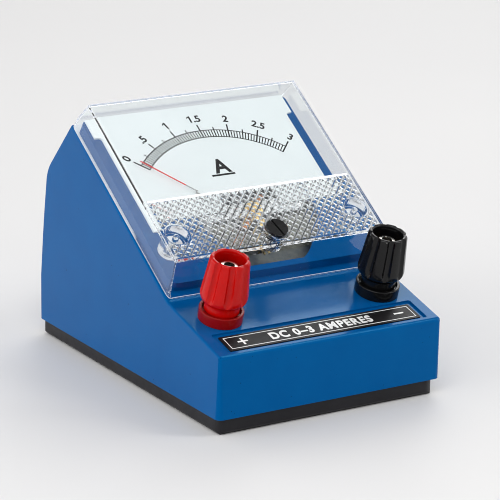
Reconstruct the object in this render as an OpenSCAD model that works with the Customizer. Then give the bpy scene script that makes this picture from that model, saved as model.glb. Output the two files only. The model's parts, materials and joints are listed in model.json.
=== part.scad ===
// Desk-case moving-coil ammeter: sloping moulded case, clear dial cover,
// core-magnet movement, shunt, and two 4 mm binding posts.
// Units are millimetres. The origin is the centre of the base's underside,
// +X to the right, +Y to the back, +Z up.

/* [Case] */
// Width of the case at its foot
case_w = 97; // [94:0.5:102]
// Depth of the case at its foot
case_d = 137; // [134:0.5:142]
// Height of the front wall above the base
front_h = 23.5; // [21:0.5:26]
// Slope of the terminal ledge
ledge_slope = 15.2; // [13:0.1:17]
// Length of the terminal ledge along its slope
ledge_len = 38.2; // [37:0.1:41]
// Slope of the dial panel
panel_slope = 33.6; // [32:0.1:35]
// Length of the dial panel along its slope
panel_len = 90.8; // [90.6:0.1:93]
// Height of the bend between the back wall and the roof
bend_z = 67.5; // [64:0.5:70]
// Radius of that bend
bend_r = 14; // [8:1:18]
// Forward lean of the back wall, degrees
back_lean = 4; // [2:0.5:5]
// Inward draft of each side wall, degrees
side_draft = 1.03; // [0.5:0.1:1.5]
// Wall thickness of the case
wall = 2.5; // [2:0.1:3]

/* [Base] */
// Height of the base plate's visible band
base_h = 6.2; // [5:0.1:7]
// How far the base is set in from the case
base_inset = 1; // [0.6:0.1:1.6]

/* [Pedestal and dial] */
// Height of the raised pedestal under the cover
ped_h = 4.5; // [4:0.1:5]
// Half width of the pedestal
ped_x = 45.3; // [44.5:0.1:45.3]
// Thickness of the dial plate
dial_t = 0.7; // [0.5:0.1:0.8]
// Pivot's distance down the panel from its top edge
pivot_t = 61.3; // [60:0.1:62]
// Radius of the round movement opening in the pedestal
opening_r = 25.5; // [25:0.1:26]

/* [Cover] */
// Height of the cover's front face above the panel
cover_h = 15; // [14.5:0.1:16]
// Wall thickness of the cover
cover_w = 1.2; // [1.1:0.1:1.3]
// Half width of the cover at the panel
cover_x0 = 47; // [46.9:0.1:47.2]
// Half width of the cover's front face
cover_x1 = 45.9; // [45.7:0.1:46.2]

/* [Zero adjuster] */
// Distance of the adjuster down the panel
adj_t = 77; // [76.5:0.1:77.5]
// Radius of the slotted adjuster head
adj_r = 4.3; // [4:0.1:4.5]
// Throw of its eccentric pin
adj_e = 1.5; // [1.2:0.1:1.6]

/* [Terminals] */
// Distance of each binding post from the centre line
term_x = 34.2; // [33:0.1:35]
// Distance of the posts up the ledge from the front edge
term_t = 23.7; // [23:0.1:25]
// Radius of the 4 mm plug socket
socket_r = 2; // [1.95:0.05:2.1]
// Outer radius of the metal stud
stud_r = 3; // [3:0.1:3.2]
// Running clearance between moving round parts
run = 0.05; // [0.03:0.01:0.08]

/* [Pointer] */
// Pointer angle at rest, left of the panel's centre line
rest_a = 45.5; // [45:0.1:46]
// Radius of the pointer's tip from the pivot
tip_r = 46; // [44:0.5:47]

/* [Hidden] */
$fn = 64;
eps = 0.01;
BLUE = "#0f5ea8"; BLACK = "#1a1a1c"; CLEAR = [0.86, 0.92, 0.97, 0.35];
STEEL = "#b9bcc0"; BRASS = "#c9a24a"; ALU = "#cfd2d4"; COPPER = "#b8683a";

// ---- points of the side profile, as [y, z] ----
yf = -case_d / 2;
zb = base_h;
P0 = [yf, zb];
P1 = [yf + 0.235, zb + front_h];
P2 = P1 + ledge_len * [cos(ledge_slope), sin(ledge_slope)];
P3 = P2 + panel_len * [cos(panel_slope), sin(panel_slope)];
P5 = [case_d / 2, zb];
P4 = [case_d / 2 - (bend_z - zb) * tan(back_lean), bend_z];

// a line moved to its right by d, and the crossing of two lines
function off(p, q, d) = let (v = (q - p) / norm(q - p), n = [v[1], -v[0]])
  [p + d * n, q + d * n];
function cross_at(a, b) = let (u = a[1] - a[0], v = b[1] - b[0],
  t = cross(b[0] - a[0], v) / cross(u, v)) a[0] + t * u;
// the points of a round of radius r at corner b, between a and c
function wrap(x) = x > 180 ? x - 360 : (x < -180 ? x + 360 : x);
function fil(a, b, c, r, n = 6) = let (
  u = (a - b) / norm(a - b), v = (c - b) / norm(c - b),
  g = acos(u * v), tl = r / tan(g / 2),
  m = b + (u + v) / norm(u + v) * r / sin(g / 2),
  s = b + u * tl - m, e = b + v * tl - m,
  a0 = atan2(s[1], s[0]), da = wrap(atan2(e[1], e[0]) - a0))
  [for (i = [0:n]) m + r * [cos(a0 + da * i / n), sin(a0 + da * i / n)]];
// a rectangle with rounded corners, centred
function rrect(w, d, r, n = 6) = [for (k = [0:3]) let (
  cx = (w / 2 - r) * (k == 0 || k == 3 ? 1 : -1),
  cy = (d / 2 - r) * (k < 2 ? 1 : -1))
  for (i = [0:n]) [cx + r * cos(90 * k + 90 * i / n), cy + r * sin(90 * k + 90 * i / n)]];

outer_pts = concat([P0], fil(P0, P1, P2, 1.6), fil(P1, P2, P3, 4, 4),
  fil(P2, P3, P4, 1.0), fil(P3, P4, P5, bend_r, 8), [P5]);
// inner face of each wall
L0 = off(P0, P1, wall); L1 = off(P1, P2, wall); L2 = off(P2, P3, wall);
L3 = off(P3, P4, wall); L4 = off(P4, P5, wall);
LB = [[yf, -1], [-yf, -1]];
I0 = cross_at(L0, LB); I1 = cross_at(L0, L1); I2 = cross_at(L1, L2);
I3 = cross_at(L2, L3); I4 = cross_at(L3, L4); I5 = cross_at(L4, LB);
inner_pts = concat([I0, I1, I2, I3], fil(I3, I4, I5, bend_r - wall, 8), [I5]);

// a side profile [y, z] extruded along X, centred
module slab(pts, w) rotate([90, 0, 90]) translate([0, 0, -w / 2])
  linear_extrude(w) polygon(pts);
// a front outline [x, z] extruded along Y, centred
module front_slab(pts, d) rotate([90, 0, 0]) translate([0, 0, -d / 2])
  linear_extrude(d) polygon(pts);
function trap(hw, z0, z1, k) = [[-hw, z0], [hw, z0], [hw - k * (z1 - z0), z1], [-hw + k * (z1 - z0), z1]];

// frames on the sloping faces: the panel's origin is the middle of its top
// edge, and the ledge's is the middle of its front edge; +Y is up the slope
module on_panel() translate([0, P3[0], P3[1]]) rotate([panel_slope, 0, 0]) children();
module on_ledge() translate([0, P1[0], P1[1]]) rotate([ledge_slope, 0, 0]) children();
// the pivot's frame, and the frame of a post at side s
module at_pivot() on_panel() translate([0, -pivot_t, 0]) children();
module at_post(s) on_ledge() translate([s * term_x, term_t, 0]) children();
module turned(a) rotate([0, 0, a]) children();

// bar between two heights
module rod(r, z0, z1) translate([0, 0, z0]) cylinder(r = r, h = z1 - z0);
module ring(ro, ri, z0, z1) difference() { rod(ro, z0, z1); rod(ri, z0 - 1, z1 + 1); }
module plate(w, d, r, z0, z1) translate([0, 0, z0]) linear_extrude(z1 - z0) polygon(rrect(w, d, r));
module hexnut(af, ri, z0, z1) difference() {
  translate([0, 0, z0]) cylinder(r = af / sqrt(3), h = z1 - z0, $fn = 6);
  rod(ri, z0 - 1, z1 + 1);
}

post_xy = [[42.3, -57], [-42.3, -57], [42.3, 52], [-42.3, 52]];
post_top = [25.4, 25.4, 32, 32];
mount_xy = [[31, 13], [-31, 13], [31, -13], [-31, -13]];
dial_xy = [[36, -58], [-36, -58]];
// top of the dial's notch, and the bend of the pointer's inner arm
notch_t = 53.8; arm_bend = 3.2;
boss_xy = [[39.2, -71.3], [-39.2, -71.3]];
ped_y0 = -85.7; ped_y1 = -3.2;
skin = 2.5;
kd = tan(side_draft);

module movement_hole(r, z0, z1) intersection() {
  translate([0, -pivot_t, 0]) rod(r, z0, z1);
  translate([-r - 1, ped_y0 + 2.5, z0 - 1]) cube([2 * r + 2, 100, z1 - z0 + 2]);
}

module case_shell() color(BLUE) difference() {
  union() {
    difference() {
      intersection() {
        slab(outer_pts, case_w);
        front_slab(trap(case_w / 2, zb, 100, kd), case_d + 2);
        plate(case_w, case_d, 2.5, zb, 100);
      }
      intersection() {
        slab(inner_pts, case_w);
        front_slab(trap(case_w / 2 - wall, -2, 100, kd), case_d + 2);
      }
    }
    // raised pedestal
    on_panel() translate([0, (ped_y0 + ped_y1) / 2, 0])
      plate(2 * ped_x, ped_y1 - ped_y0, 2.5, -1.5, ped_h);
    // posts for the base screws, joined to the side walls
    for (i = [0:3]) translate([post_xy[i][0], post_xy[i][1], zb])
      cylinder(r = 4, h = post_top[i]);
  }
  // hollow of the pedestal, and the movement opening
  on_panel() difference() {
    translate([0, (ped_y0 + ped_y1) / 2, 0])
      plate(2 * ped_x - 5, ped_y1 - ped_y0 - 5, 1.5, -8, ped_h - skin);
    for (p = mount_xy) translate([p[0], p[1] - pivot_t, 0]) rod(3.5, -2, ped_h);
    for (p = dial_xy) translate([p[0], p[1], 0]) rod(2.2, -1, ped_h);
  }
  on_panel() movement_hole(opening_r, ped_h - skin - 1, ped_h + 1);
  // pilot holes for movement, dial and cover screws
  on_panel() for (p = mount_xy) translate([p[0], p[1] - pivot_t, 0]) rod(1.3, -3, 2.6);
  on_panel() for (p = dial_xy) translate([p[0], p[1], 0]) rod(0.9, 0.2, ped_h + 1);
  on_panel() for (p = boss_xy) translate([p[0], p[1], 0]) rod(1.6, 0, ped_h + 1);
  for (i = [0:3]) translate([post_xy[i][0], post_xy[i][1], 0]) rod(1.4, zb, zb + 16);
  // terminal holes and the shallow recess of the legend
  for (s = [-1, 1]) at_post(s) rod(4.05, -wall - 2, 1);
  on_ledge() translate([0, 8.45, 0]) plate(86.6, 12.3, 0.8, -0.8, 2);
}

module base_plate() color(BLACK) difference() {
  union() {
    intersection() {
      plate(case_w - 2 * base_inset, case_d - 2 * base_inset, 3, 0, base_h);
      front_slab([[-case_w / 2 + 2.4, 0], [case_w / 2 - 2.4, 0], [case_w / 2 - base_inset, 1.4],
        [case_w / 2 - base_inset, base_h], [-case_w / 2 + base_inset, base_h], [-case_w / 2 + base_inset, 1.4]], case_d);
      slab([[-case_d / 2 + 2.4, 0], [case_d / 2 - 2.4, 0], [case_d / 2 - base_inset, 1.4],
        [case_d / 2 - base_inset, base_h], [-case_d / 2 + base_inset, base_h], [-case_d / 2 + base_inset, 1.4]], case_w);
    }
    // locating lip inside the case walls
    difference() {
      translate([0, 0.0, 0]) plate(case_w - 2 * wall - 0.8, case_d - 2 * wall - 1.2, 2, base_h - 1, base_h + 2.4);
      plate(case_w - 2 * wall - 4, case_d - 2 * wall - 4.4, 1, base_h - 2, base_h + 4);
    }
  }
  // the floor inside the rim is thinner, with bosses left under the case's posts
  difference() {
    plate(case_w - 2 * wall - 4, case_d - 2 * wall - 4.4, 1, base_h - 3, base_h + 4);
    for (p = post_xy) translate([p[0], p[1], 0]) rod(5.6, 0, base_h);
  }
  for (p = post_xy) translate([p[0], p[1], 0]) {
    rod(1.9, -1, base_h + 4);
    rod(3.6, -1, 2);
    rod(4.3, base_h, base_h + 4);
  }
}

// pan-head screw pointing up: head from z0, shank rs to length h
module screw_up(rh, hh, rs, h) difference() {
  union() { rod(rh, 0, hh); rod(rs, hh - eps, hh + h); }
  translate([-rh, -0.4, -1]) cube([2 * rh, 0.8, 1 + hh * 0.45]);
}
module base_screws() color(STEEL) for (p = post_xy) translate([p[0], p[1], 0.4])
  screw_up(3.1, 1.6, 1.35, 13);

module legend_strip() color(BLACK) on_ledge() translate([0, 8.2, 0])
  plate(82.6, 9.2, 0.4, -0.8, -0.4);

// side [y, z] and front [x, z] outlines of the cover, grown inwards by w
function cov_side(w, z0, z1) = let (
  a = [[-89.4, 0], [-83.3, cover_h]], b = [[-0.2, 0], [-4.4, cover_h]],
  la = off(a[0], a[1], w), lb = off(b[1], b[0], w),
  h0 = [[-200, z0], [200, z0]], h1 = [[-200, z1], [200, z1]])
  [cross_at(la, h0), cross_at(lb, h0), cross_at(lb, h1), cross_at(la, h1)];
function cov_front(w, z0, z1) = let (k = (cover_x0 - cover_x1) / cover_h)
  [[-cover_x0 + w + k * z0, z0], [cover_x0 - w - k * z0, z0], [cover_x0 - w - k * z1, z1], [-cover_x0 + w + k * z1, z1]];

module clear_cover() color(CLEAR) on_panel() difference() {
  union() {
    difference() {
      intersection() {
        slab(cov_side(0, 0, cover_h), 100);
        front_slab(cov_front(0, 0, cover_h), 300);
        translate([0, -44.8, 0]) plate(2 * cover_x0, 89.2, 3, -1, cover_h + 1);
      }
      intersection() {
        slab(cov_side(cover_w, -1, cover_h - 1.6), 100);
        front_slab(cov_front(cover_w, -1, cover_h - 1.6), 300);
      }
    }
    // screw bosses down to the pedestal, and the adjuster's boss and ring
    for (p = boss_xy) translate([p[0], p[1], 0]) rod(4.6, ped_h, cover_h - 1);
    translate([0, -adj_t, 0]) { rod(4.3, 8, cover_h - 1); rod(5.1, cover_h - 1, cover_h + 1.2); }
  }
  for (p = boss_xy) translate([p[0], p[1], 0]) rod(1.2, ped_h - 1, ped_h + 7);
  translate([0, -adj_t, 0]) { rod(2.4 + run, 7, cover_h + 3); rod(adj_r + 0.25, cover_h + 0.2, cover_h + 3); }
}
module cover_screws() color(STEEL) on_panel() for (p = boss_xy)
  translate([p[0], p[1], ped_h - skin - 1.3]) screw_up(2.7, 1.3, 1.15, 8);

// slotted head, shaft and eccentric pin; the pin points up the panel at rest
module zero_adjuster() color(BLACK) on_panel() translate([0, -adj_t, 0]) {
  difference() {
    rod(adj_r, cover_h + 0.3, cover_h + 2);
    rotate([0, 0, 12]) translate([-0.35, -adj_r - 1, cover_h + 1.1]) cube([0.7, 2 * adj_r + 2, 2]);
  }
  rod(2.4, 7.6, cover_h + 0.4);
  rod(2.9, 7, 7.8);
  translate([0, adj_e, 0]) rod(0.5, 2, 7.1);
}

// the plate, with a notch over the movement, and two stop pegs for the pointer's arm
module dial_plate() color("#eef2f2") on_panel() {
  difference() {
    translate([0, 0, ped_h]) linear_extrude(dial_t) polygon(concat(
      [[-43.8, -3.4], [43.8, -3.4], [43.8, -12.9]],
      fil([43.8, -12.9], [41.1, -13.2], [41.1, -61.5], 1.2, 4),
      [[41.1, -61.5], [-41.1, -61.5]],
      fil([-41.1, -61.5], [-41.1, -13.2], [-43.8, -12.9], 1.2, 4),
      [[-43.8, -12.9]]));
    translate([0, -notch_t - 10, 0]) plate(24, 20, 2, 0, 10);
    for (p = dial_xy) translate([p[0], p[1], 0]) rod(1.0, 0, 10);
  }
  for (a = [rest_a + arm_bend + 4.7, -rest_a + arm_bend - 4.7]) translate([0, -pivot_t, 0])
    turned(a) translate([0, 16.4, 0]) rod(0.5, ped_h, 6.3);
}
module dial_screws() color("#e8ebea") on_panel() for (p = dial_xy)
  translate([p[0], p[1], ped_h + dial_t + 0.7]) rotate([180, 0, 0]) screw_up(1.6, 0.7, 0.85, 3.6);

// ---- movement: z = 0 is the panel's plane, +Y points up the panel ----
plate_z = -2; plate_b = -3.2;
module movement_plate() color(ALU) at_pivot() difference() {
  plate(72, 42, 4, plate_b, plate_z);
  rod(12.6, -5, 1);
  for (p = mount_xy) translate([p[0], p[1], 0]) rod(1.6, -5, 1);
  for (s = [-1, 1]) translate([s * 19, 0, 0]) rod(0.8, -5, 1);
}
module movement_screws() color(STEEL) at_pivot() for (p = mount_xy)
  translate([p[0], p[1], plate_b - 1.4]) screw_up(2.6, 1.4, 1.25, 5.4);
module yoke_ring() color("#8d9094") at_pivot() difference() {
  ring(15.5, 11.3, -15.2, plate_b);
  for (s = [-1, 1]) translate([s * 13.4, 0, 0]) rod(0.7, -16, -11);
}
module core_magnet() color("#5d6064") at_pivot() rod(8.4, -15.2, plate_b);
module core_spacers() color(BRASS) at_pivot() for (s = [-1, 1]) intersection() {
  ring(11.3, 8.4, -11, -7);
  translate([-3, s > 0 ? 5 : -15, -20]) cube([6, 10, 30]);
}
module bridge_pillars() color(BRASS) at_pivot() for (s = [-1, 1]) translate([s * 19, 0, 0])
  difference() { rod(2, plate_z, 1.6); rod(0.8, plate_z - 1, 3); }
module front_bridge() color(BRASS) at_pivot() difference() {
  union() {
    plate(44, 6.4, 3, 1.6, 2.8);
    rod(2, 2.7, 3.6);
  }
  rod(1.2, 0, 5);
  for (s = [-1, 1]) translate([s * 19, 0, 0]) rod(0.9, 0, 5);
}
module bridge_screws() color(STEEL) at_pivot() for (s = [-1, 1]) translate([s * 19, 0, 3.8])
  rotate([180, 0, 0]) screw_up(1.7, 1, 0.75, 6.4);
module rear_pillars() color(BRASS) at_pivot() for (s = [-1, 1]) translate([s * 13.4, 0, 0])
  difference() { rod(1.8, -21, -15.2); rod(0.7, -22, -15); }
module rear_bridge() color(BRASS) at_pivot() difference() {
  plate(32, 6.4, 3, -22.2, -21);
  rod(1.2, -30, 0);
  for (s = [-1, 1]) translate([s * 13.4, 0, 0]) rod(0.9, -30, 0);
}
module rear_bridge_screws() color(STEEL) at_pivot() for (s = [-1, 1])
  translate([s * 13.4, 0, -23.2]) screw_up(1.6, 1, 0.65, 9.4);
module jewel(z0, z1, up) difference() {
  rod(1.2, z0, z1);
  if (up) { rod(0.45 + run, z1 - 0.8, z1 + 1); translate([-2, -0.25, z0 - 1]) cube([4, 0.5, 1.5]); }
  else { rod(0.45 + run, z0 - 1, z0 + 0.8); translate([-2, -0.25, z1 - 0.5]) cube([4, 0.5, 2]); }
}
module front_jewel_screw() color(STEEL) at_pivot() jewel(0.9, 5.2, false);
module rear_jewel_screw() color(STEEL) at_pivot() jewel(-24.2, -19.3, true);
module jewel_lock_nuts() color(BRASS) at_pivot() { hexnut(4.4, 1.2, 3.6, 4.5); hexnut(4.4, 1.2, -23.2, -22.2); }
// lever turned by the eccentric pin; it holds the front hairspring's outer end
module zero_lever() color(BRASS) at_pivot() {
  difference() {
    union() {
      rod(3.6, 2.85, 3.35);
      translate([-1.5, -16.6, 2.85]) cube([3, 14, 0.5]);
    }
    rod(2 + run, 0, 5);
    translate([-0.7, -17, 2]) cube([1.4, 4.6, 2]);
  }
  translate([-0.8, -4.9, 0.1]) cube([1.6, 0.5, 3]);
}
module rear_spring_arm() color(BRASS) at_pivot() difference() {
  union() {
    rod(3, -21, -20.5);
    translate([-0.8, -9, -21]) cube([1.6, 7, 0.5]);
    translate([-0.8, -4.9, -21]) cube([1.6, 0.5, 2.6]);
  }
  rod(1.25, -22, -20);
}
// flat spiral from r0 to r1, ending at -Y
turns = 4; spiral_r0 = 1.35; spiral_r1 = 4.25; strip_t = 0.12; spn = 96;
function spiral(dr) = [for (i = [0:spn]) let (f = i / spn, a = -90 - 360 * turns * (1 - f),
  r = spiral_r0 + (spiral_r1 - spiral_r0) * f + dr) r * [cos(a), sin(a)]];
module hairspring(z0, z1) translate([0, 0, z0]) linear_extrude(z1 - z0)
  polygon(concat(spiral(0), [for (i = [spn:-1:0]) spiral(strip_t / 2)[i]]));
module front_hairspring() color(COPPER) at_pivot() hairspring(0.15, 0.6);
module rear_hairspring() color(COPPER) at_pivot() hairspring(-18.95, -18.5);

// ---- the turning element, drawn at its rest angle ----
module at_rest() at_pivot() turned(rest_a) children();
module frame_box(x0, x1, y, za, zb2, t) difference() {
  translate([-x1, -y, zb2]) cube([2 * x1, 2 * y, za - zb2]);
  translate([-x0, -y - 1, zb2 + t]) cube([2 * x0, 2 * y + 2, za - zb2 - 2 * t]);
}
module coil_former() color(ALU) at_rest() frame_box(9.1, 9.6, 1.9, -1.9, -16.5, 0.5);
module moving_coil() color(COPPER) at_rest() frame_box(9.6, 10.5, 1.5, -1, -17.4, 0.9);
module front_staff() color(STEEL) at_rest() { rod(1.6, -1, -0.9 + eps); rod(1.2, -0.9, 0.7); rod(0.45, 0.6, 1.5); }
module rear_staff() color(STEEL) at_rest() { rod(1.6, -17.5, -17.4); rod(1.2, -19.0, -17.5); rod(0.45, -19.9, -18.9); }
module pointer_hub() color(ALU) at_rest() difference() {
  union() {
    rod(2.2, -0.9, -0.4);
    for (a = [145, -145]) turned(a) translate([-0.35, 0, -0.9]) cube([0.7, 9.5, 0.5]);
    translate([-0.35, 0, -0.9]) cube([0.7, 5.5, 0.5]);
  }
  rod(1.2, -2, 2);
}
wire_r = 0.22; crank_r = 22; hub_r = 6.6; low_z = -0.18; dial_gap_z = 5.65; hook_z = 6.5; tip_z = 6.9;
crank_p = crank_r * [-sin(arm_bend), cos(arm_bend)];
arm_v = [0, tip_r] - crank_p;
module pointer() color("#c8202a") at_rest() {
  // low arm, crank up through the dial's notch, and the arm over the dial to the hook
  turned(arm_bend) {
    translate([0, 2.3, low_z]) rotate([-90, 0, 0]) cylinder(r = wire_r, h = hub_r - 2.25);
    translate([0, hub_r, low_z - 0.24]) cylinder(r = wire_r + 0.03, h = dial_gap_z - low_z + 0.48);
    translate([0, hub_r - 0.05, dial_gap_z]) rotate([-90, 0, 0]) cylinder(r = wire_r, h = crank_r - hub_r + 0.1);
    translate([0, crank_r, dial_gap_z - 0.24]) cylinder(r = wire_r + 0.03, h = hook_z - dial_gap_z + 0.48);
  }
  // long arm from the hook to the tip
  translate([crank_p[0], crank_p[1], hook_z]) turned(-atan(arm_v[0] / arm_v[1]))
    rotate([-90 + atan((tip_z - hook_z) / norm(arm_v)), 0, 0])
    cylinder(r = wire_r, h = norm([norm(arm_v), tip_z - hook_z]));
}
weight_r = 0.95; weight_l = 1.45; weight_y = 8.2;
module balance_weights() color(BRASS) at_rest() for (a = [145, -145]) turned(a)
  translate([0, weight_y, -0.65]) difference() {
    rotate([-90, 0, 0]) translate([0, 0, -weight_l / 2]) cylinder(r = weight_r, h = weight_l);
    translate([-0.35, -3, -0.25]) cube([0.7, 6, 0.5]);
  }

// ---- terminals: z = 0 is the ledge's surface ----
module collar(c, s) color(c) at_post(s) difference() {
  union() { rod(8.35, 0, 4.3); rod(4, -wall, eps); }
  rod(stud_r + run, -5, 9);
  rod(7.2, 2.8, 9);
}
cap_z0 = 3.6; cap_z1 = 25.4; flutes = 8;
module cap(c, s) color(c) at_post(s) difference() {
  rotate_extrude() polygon([[3.4, cap_z0], [6.6, cap_z0], [6.6, 7.3], [7.3, 7.7], [8.3, 8.6], [8.75, 9.6],
    [8.8, 10.6], [7.35, 24.6], [7.1, 25.2], [6.7, cap_z1], [5.9, cap_z1], [5.6, 25.1], [5.6, 19], [5, 19], [5, 8], [3.4, 8]]);
  for (i = [0:flutes - 1]) turned(22.5 + 360 / flutes * i) translate([9.55, 0, 10.6]) {
    rotate([0, -5.9, 0]) cylinder(r = 1.25, h = 18, $fn = 32);
    sphere(r = 1.25, $fn = 32);
  }
}
module cap_insert(s) color(BRASS) at_post(s) ring(5, stud_r + run, 8, 19);
module clamp_washer(s) color(STEEL) at_post(s) ring(6.2, stud_r + run, 2.8, cap_z0);
stud_top = 22.4; stud_bot = -14; socket_l = 15;
module stud(s) color(STEEL) at_post(s) difference() {
  rod(stud_r, stud_bot, stud_top);
  rod(socket_r, stud_top - socket_l, stud_top + 1);
  translate([0, 0, 5.2]) rotate([0, 90, 0]) cylinder(r = 0.9, h = 20, center = true);
}
module insulator(s) color("#d8d6cc") at_post(s) ring(7.5, stud_r + run, -wall - 2, -wall);
module nuts(s) color(STEEL) at_post(s) { hexnut(10, stud_r + run, -7.5, -4.5); hexnut(10, stud_r + run, -12.3, -9.3); }
module tag(s) color(BRASS) at_post(s) difference() {
  union() { rod(5, -8.3, -7.5); translate([-2, 0, -8.3]) cube([4, 14, 0.8]); }
  rod(stud_r + run, -10, -5);
  translate([0, 11.5, 0]) rod(0.9, -10, -5);
}
module shunt_bar() color("#a9885c") on_ledge() translate([0, term_t, 0]) difference() {
  union() {
    for (s = [-1, 1]) translate([s * term_x, 0, 0]) rod(5.5, -9.3, -8.3);
    translate([-term_x, -3.5, -9.3]) cube([2 * term_x, 7, 1]);
  }
  for (s = [-1, 1]) translate([s * term_x, 0, 0]) rod(stud_r + run, -12, -5);
  translate([-0.6, -4, -10]) cube([1.2, 3.4, 3]);
}

// ---- internal leads: tubes swept along routes of [x, y, z] points ----
function unit(v) = v / norm(v);
function ease(p, i, f) = let (n = len(p) - 1, a = p[max(i - 1, 0)], b = p[i], c = p[min(i + 1, n)], d = p[min(i + 2, n)])
  0.5 * ((2 * b) + (c - a) * f + (2 * a - 5 * b + 4 * c - d) * f * f + (3 * b - a - 3 * c + d) * f * f * f);
function route(p, m) = concat([for (i = [0:len(p) - 2]) for (j = [0:m - 1]) ease(p, i, j / m)], [p[len(p) - 1]]);
module tube(p, r, ref, sides = 8) {
  n = len(p);
  pts = [for (i = [0:n - 1]) let (t = unit(p[min(i + 1, n - 1)] - p[max(i - 1, 0)]),
    u = unit(cross(t, ref)), v = cross(t, u))
    for (k = [0:sides - 1]) p[i] + r * (cos(360 * k / sides) * u + sin(360 * k / sides) * v)];
  faces = concat([[for (k = [0:sides - 1]) k]],
    [for (i = [0:n - 2]) for (k = [0:sides - 1])
      [i * sides + k, (i + 1) * sides + k, (i + 1) * sides + (k + 1) % sides, i * sides + (k + 1) % sides]],
    [[for (k = [sides - 1:-1:0]) (n - 1) * sides + k]]);
  polyhedron(pts, faces);
}
// heights of the route points are measured from the base
function from_base(p) = [for (q = p) q + [0, 0, zb]];
lead_p = [[-34.2, -32.2, 25.8], [-34, -31, 23.5], [-32, -26, 21.5], [-27, -19, 20.5], [-19, -12, 20.5], [-10, -7, 22], [-3, -4, 25], [0, -2.5, 27.4]];
lead_n = [[34.2, -32.2, 25.8], [34.2, -31, 23.5], [34.4, -26.5, 23], [34.8, -21.5, 27], [34.6, -16, 33], [33.6, -12.6, 38.5], [33, -11.4, 41.9]];
module lead_positive() color("#b02020") tube(route(from_base(lead_p), 5), 0.6, [0.1, 1, 0.3]);
module lead_negative() color("#202020") tube(route(from_base(lead_n), 5), 0.6, [1, 0.1, 0]);

case_shell();
base_plate();
base_screws();
legend_strip();
clear_cover();
cover_screws();
zero_adjuster();
dial_plate();
dial_screws();
movement_plate();
movement_screws();
yoke_ring();
core_magnet();
core_spacers();
bridge_pillars();
front_bridge();
bridge_screws();
rear_pillars();
rear_bridge();
rear_bridge_screws();
front_jewel_screw();
rear_jewel_screw();
jewel_lock_nuts();
zero_lever();
rear_spring_arm();
front_hairspring();
rear_hairspring();
coil_former();
moving_coil();
front_staff();
rear_staff();
pointer_hub();
pointer();
balance_weights();
shunt_bar();
lead_positive();
lead_negative();
collar("#c81d1d", -1);  // red_collar
cap("#d42020", -1);  // red_cap
cap_insert(-1);  // red_cap_insert
clamp_washer(-1);  // red_clamp_washer
stud(-1);  // red_stud
insulator(-1);  // red_insulator
nuts(-1);  // red_nuts
tag(-1);  // red_tag
collar("#18181a", 1);  // black_collar
cap("#18181a", 1);  // black_cap
cap_insert(1);  // black_cap_insert
clamp_washer(1);  // black_clamp_washer
stud(1);  // black_stud
insulator(1);  // black_insulator
nuts(1);  // black_nuts
tag(1);  // black_tag
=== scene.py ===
import bpy
import bmesh
import json
import math
from mathutils import Matrix, Vector

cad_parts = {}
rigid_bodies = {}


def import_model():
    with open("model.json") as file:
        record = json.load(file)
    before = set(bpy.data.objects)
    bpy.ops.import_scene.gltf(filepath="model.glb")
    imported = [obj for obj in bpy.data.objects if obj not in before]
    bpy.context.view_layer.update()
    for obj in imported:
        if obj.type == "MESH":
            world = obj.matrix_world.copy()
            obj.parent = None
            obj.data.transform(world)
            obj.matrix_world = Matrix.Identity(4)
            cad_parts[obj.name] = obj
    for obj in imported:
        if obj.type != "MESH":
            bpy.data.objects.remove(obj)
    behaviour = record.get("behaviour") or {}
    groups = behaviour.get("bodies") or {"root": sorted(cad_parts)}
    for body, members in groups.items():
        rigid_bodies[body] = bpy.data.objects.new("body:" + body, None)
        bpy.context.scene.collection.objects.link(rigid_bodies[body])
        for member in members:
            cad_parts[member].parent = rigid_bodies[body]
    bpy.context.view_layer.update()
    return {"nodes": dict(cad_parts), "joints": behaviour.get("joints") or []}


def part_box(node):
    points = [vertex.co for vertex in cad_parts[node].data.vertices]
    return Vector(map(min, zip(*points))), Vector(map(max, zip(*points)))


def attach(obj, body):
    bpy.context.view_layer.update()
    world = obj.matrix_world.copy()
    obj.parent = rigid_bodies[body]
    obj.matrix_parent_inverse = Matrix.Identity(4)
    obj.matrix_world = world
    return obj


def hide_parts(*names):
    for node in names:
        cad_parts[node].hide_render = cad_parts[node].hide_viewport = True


for left_over in list(bpy.data.objects):
    bpy.data.objects.remove(left_over)

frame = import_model()
nodes = frame["nodes"]
joints = {j["name"]: j for j in frame["joints"]}
MM = 0.001

# ------------------------------------------------------------------ frames
# The panel's frame stands at the pointer's pivot, with +Y up the slope and +Z out of the panel.
pivot = Vector(joints["pointer_swing"]["pos_m"])
p_n = -Vector(joints["pointer_swing"]["axis"]).normalized()
p_x = Vector((1, 0, 0))
p_u = p_n.cross(p_x).normalized()
PIVOT_T = 61.3
PANEL = Matrix((
    (p_x.x, p_u.x, p_n.x, pivot.x),
    (p_x.y, p_u.y, p_n.y, pivot.y),
    (p_x.z, p_u.z, p_n.z, pivot.z),
    (0, 0, 0, 1),
))
# The posts' frames stand on the ledge, with +Y up the ledge and +Z along the post.
l_n = Vector(joints["red_cap_turn"]["axis"]).normalized()
l_u = l_n.cross(p_x).normalized()


def post_frame(colour):
    o = Vector(joints[colour + "_cap_turn"]["pos_m"]) - l_n * 3.6 * MM
    return Matrix((
        (p_x.x, l_u.x, l_n.x, o.x),
        (p_x.y, l_u.y, l_n.y, o.y),
        (p_x.z, l_u.z, l_n.z, o.z),
        (0, 0, 0, 1),
    ))


def panel_pt(x, t, h):
    """A point of the panel, t millimetres down from its top edge."""
    return Vector((x * MM, (PIVOT_T - t) * MM, h * MM))


# ------------------------------------------------------------------ meshes
def new_object(name, mesh):
    ob = bpy.data.objects.new(name, mesh)
    bpy.context.scene.collection.objects.link(ob)
    return ob


def from_bmesh(name, bm, matrix=None):
    if matrix is not None:
        bm.transform(matrix)
    me = bpy.data.meshes.new(name)
    bm.to_mesh(me)
    bm.free()
    return new_object(name, me)


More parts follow.
